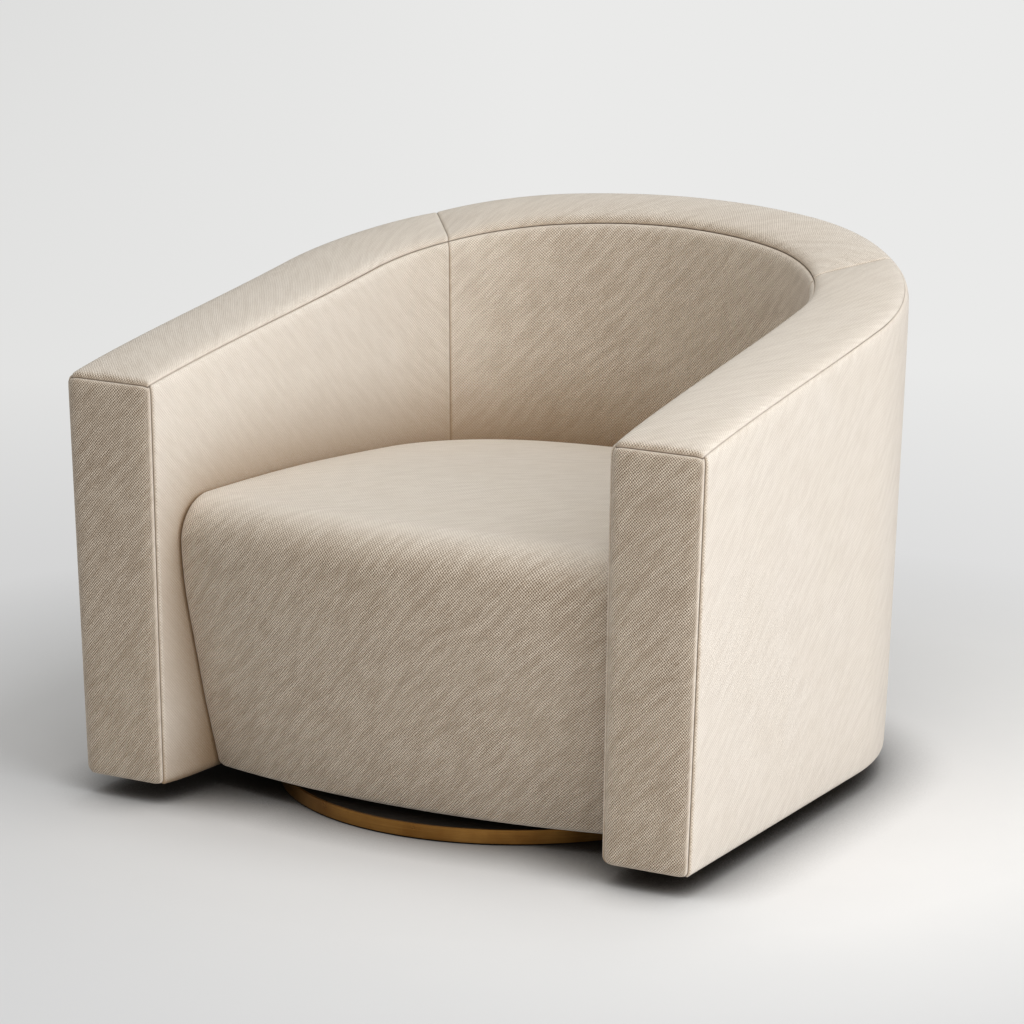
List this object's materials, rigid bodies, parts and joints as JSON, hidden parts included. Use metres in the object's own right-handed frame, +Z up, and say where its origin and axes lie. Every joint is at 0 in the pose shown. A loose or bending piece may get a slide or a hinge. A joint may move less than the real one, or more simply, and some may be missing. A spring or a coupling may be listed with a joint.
{
  "type": "swivel barrel chair",
  "caption": "Upholstered barrel armchair with square arm fronts and a wrap-round back that swivels on a low round plinth with a metal band.",
  "frame": {"origin": "on the floor, at the middle of the chair's width and depth; the swivel axis is 70 mm ahead of it", "axes": "+Z up, the arm fronts face -Y, +X to the right seen from the front"},
  "size_m": [0.914, 0.844, 0.688],
  "materials": {
    "cover_fabric": "oatmeal basket weave",
    "foam": "cut foam",
    "wadding": "felted",
    "dust_fabric": "non-woven",
    "frame_wood": "sawn hardwood",
    "frame_plywood": "raw plywood",
    "fibreboard": "smooth board",
    "plinth_wood": "black stain",
    "band_brass": "antique satin",
    "glide_nylon": "moulded",
    "plate_steel": "black coating",
    "fastener_steel": "zinc plated",
    "spring_steel": "oiled",
    "ball_steel": "polished"
  },
  "bodies": {
    "base": {"base_disc": "plinth_wood", "base_band": "band_brass", "floor_glides": "glide_nylon", "glide_screws": "fastener_steel", "swivel_lower_plate": "plate_steel", "lower_plate_screws": "fastener_steel", "pivot_bolt": "fastener_steel", "pivot_washer": "fastener_steel", "pivot_nut": "fastener_steel"},
    "bearing": {"ball_cage": "glide_nylon", "bearing_balls": "ball_steel"},
    "chair": {"arm_struts_left": "frame_wood", "arm_struts_right": "frame_wood", "back_struts": "frame_wood", "base_plate_back": "frame_plywood", "base_plate_left": "frame_plywood", "base_plate_right": "frame_plywood", "cross_rail_left": "frame_wood", "cross_rail_right": "frame_wood", "deck_pad": "wadding", "dust_cover": "dust_fabric", "front_cover_left": "cover_fabric", "front_cover_right": "cover_fabric", "front_foams": "foam", "front_lower_rail": "frame_wood", "front_panel": "frame_plywood", "front_post_left": "frame_wood", "front_post_right": "frame_wood", "front_upper_rail": "frame_wood", "inside_board": "fibreboard", "inside_cover_back": "cover_fabric", "inside_cover_left": "cover_fabric", "inside_cover_right": "cover_fabric", "inside_foam_back": "foam", "inside_foam_left": "foam", "inside_foam_right": "foam", "outside_board": "fibreboard", "outside_cover_back": "cover_fabric", "outside_cover_left": "cover_fabric", "outside_cover_right": "cover_fabric", "outside_wadding": "wadding", "pivot_bush": "glide_nylon", "seat_cover": "cover_fabric", "seat_foam": "foam", "seat_front_foam": "foam", "seat_rail_back": "frame_wood", "seat_rail_left": "frame_wood", "seat_rail_right": "frame_wood", "seat_springs": "spring_steel", "spring_clips": "spring_steel", "swivel_upper_plate": "plate_steel", "tee_nuts": "fastener_steel", "top_cover_back": "cover_fabric", "top_cover_left": "cover_fabric", "top_cover_right": "cover_fabric", "top_foam": "foam", "top_plate_back": "frame_plywood", "top_plate_left": "frame_plywood", "top_plate_right": "frame_plywood", "upper_plate_bolts": "fastener_steel"}
  },
  "joints": [
    {"name": "swivel", "type": "hinge", "parent": "base", "child": "chair", "pos_m": [0, -0.07, 0], "axis": [0, 0, 1], "continuous": true},
    {"name": "cage_turn", "type": "hinge", "parent": "base", "child": "bearing", "pos_m": [0, -0.07, 0], "axis": [0, 0, 1], "continuous": true}
  ],
  "couplings": [
    {"joint": "cage_turn", "follows": "swivel", "ratio": 0.5}
  ]
}
